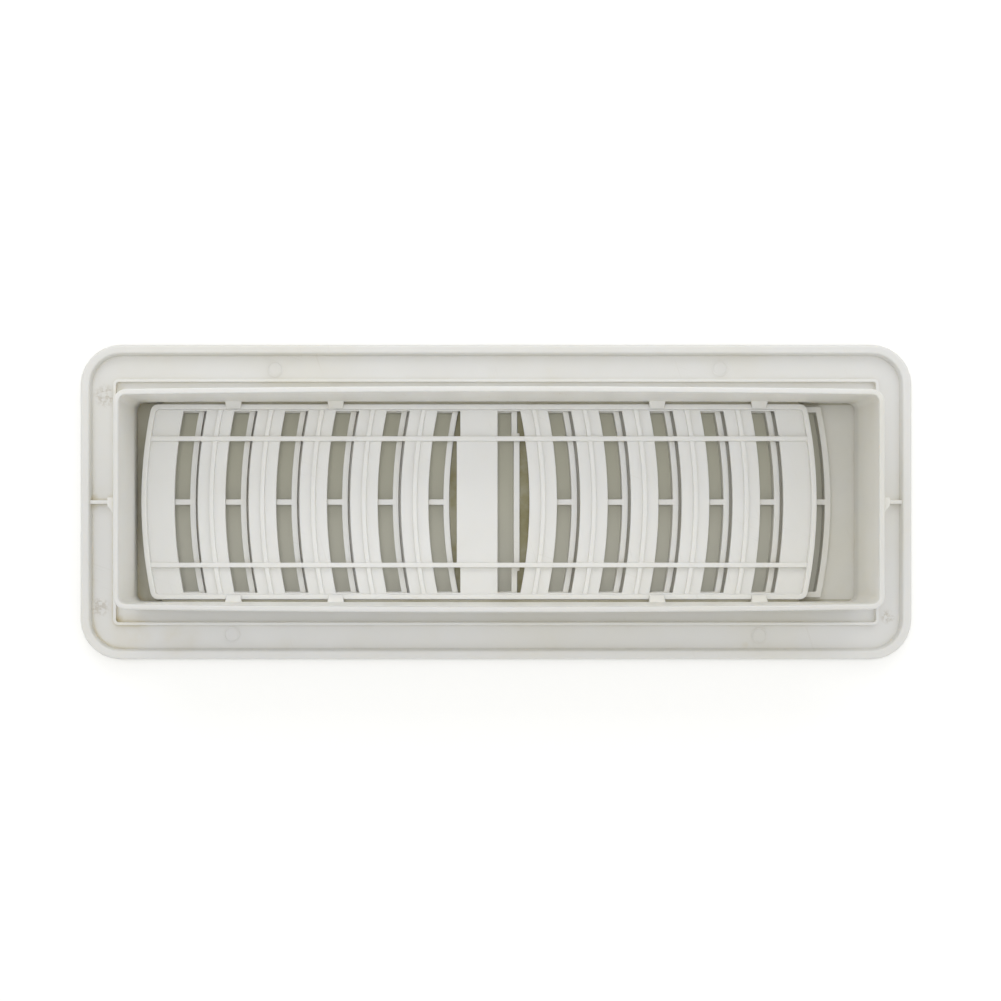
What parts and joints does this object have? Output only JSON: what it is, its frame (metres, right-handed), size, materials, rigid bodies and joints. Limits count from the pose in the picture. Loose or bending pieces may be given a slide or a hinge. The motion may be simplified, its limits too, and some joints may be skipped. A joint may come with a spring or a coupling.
{
  "type": "floor register",
  "caption": "Moulded floor register with arched slots, a rectangular duct collar and a sliding damper with a thumb lever.",
  "frame": {"origin": "middle of the face that shows in a room, on the plane that it lies on", "axes": "+X along the register towards the end where the damper shuts, +Y across it, +Z out of the back, along the collar"},
  "size_m": [0.281, 0.1064, 0.041],
  "materials": {
    "frame_plastic": "off-white moulded plastic, lightly yellowed",
    "damper_plastic": "off-white moulded plastic"
  },
  "bodies": {
    "frame": {"register_frame": "frame_plastic"},
    "damper": {"damper": "damper_plastic"}
  },
  "joints": [
    {"name": "damper_slide", "type": "slide", "parent": "frame", "child": "damper", "axis": [1, 0, 0], "range_m": [-0.002, 0.0058]}
  ]
}
